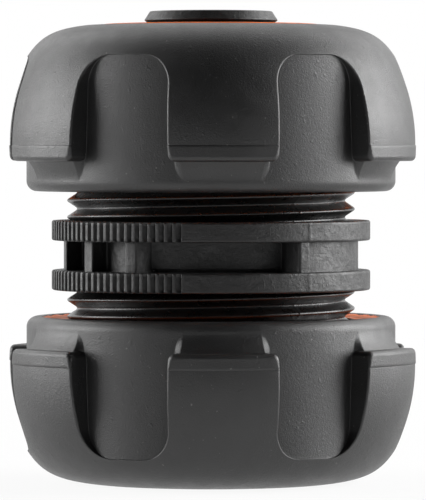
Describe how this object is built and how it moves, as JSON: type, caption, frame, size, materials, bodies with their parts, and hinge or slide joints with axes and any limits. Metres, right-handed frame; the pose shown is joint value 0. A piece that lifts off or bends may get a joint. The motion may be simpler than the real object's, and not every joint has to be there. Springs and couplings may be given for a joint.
{
  "type": "hose mender",
  "caption": "Double-ended coupling that joins the cut ends of a garden hose, with lobed compression nuts on threaded collars over barbed tails.",
  "frame": {"origin": "on the axis, at the face of the lower nut's nose, on which the part stands", "axes": "+Z along the hose axis, upwards from the lower nut to the upper nut; -Y is the side that the picture shows"},
  "size_m": [0.0438, 0.0448, 0.0507],
  "materials": {
    "hard_black": "moulded black plastic with a low sheen",
    "soft_black": "fine-grained satin soft-touch shell",
    "core_orange": "plain moulded orange plastic",
    "collet_grey": "plain moulded pale grey plastic"
  },
  "bodies": {
    "connector": {"connector_body": "hard_black"},
    "upper_collet": {"upper_collet": "collet_grey"},
    "upper_nut": {"upper_nut_core": "core_orange", "upper_nut_grip": "soft_black"},
    "lower_collet": {"lower_collet": "collet_grey"},
    "lower_nut": {"lower_nut_core": "core_orange", "lower_nut_grip": "soft_black"}
  },
  "joints": [
    {"name": "upper_nut_travel", "type": "slide", "parent": "connector", "child": "upper_collet", "axis": [0, 0, 1], "range_m": [-0.00267, 0.00632]},
    {"name": "upper_nut_turn", "type": "hinge", "parent": "upper_collet", "child": "upper_nut", "pos_m": [0, 0, 0.04], "axis": [0, 0, 1], "range_deg": [-530, 1260]},
    {"name": "lower_nut_travel", "type": "slide", "parent": "connector", "child": "lower_collet", "axis": [0, 0, 1], "range_m": [-0.00632, 0.00239]},
    {"name": "lower_nut_turn", "type": "hinge", "parent": "lower_collet", "child": "lower_nut", "pos_m": [0, 0, 0.01], "axis": [0, 0, 1], "range_deg": [-1260, 475]}
  ],
  "couplings": [
    {"joint": "upper_nut_travel", "follows": "upper_nut_turn", "m_per_rad": 0.00028648},
    {"joint": "lower_nut_travel", "follows": "lower_nut_turn", "m_per_rad": 0.00028648}
  ]
}
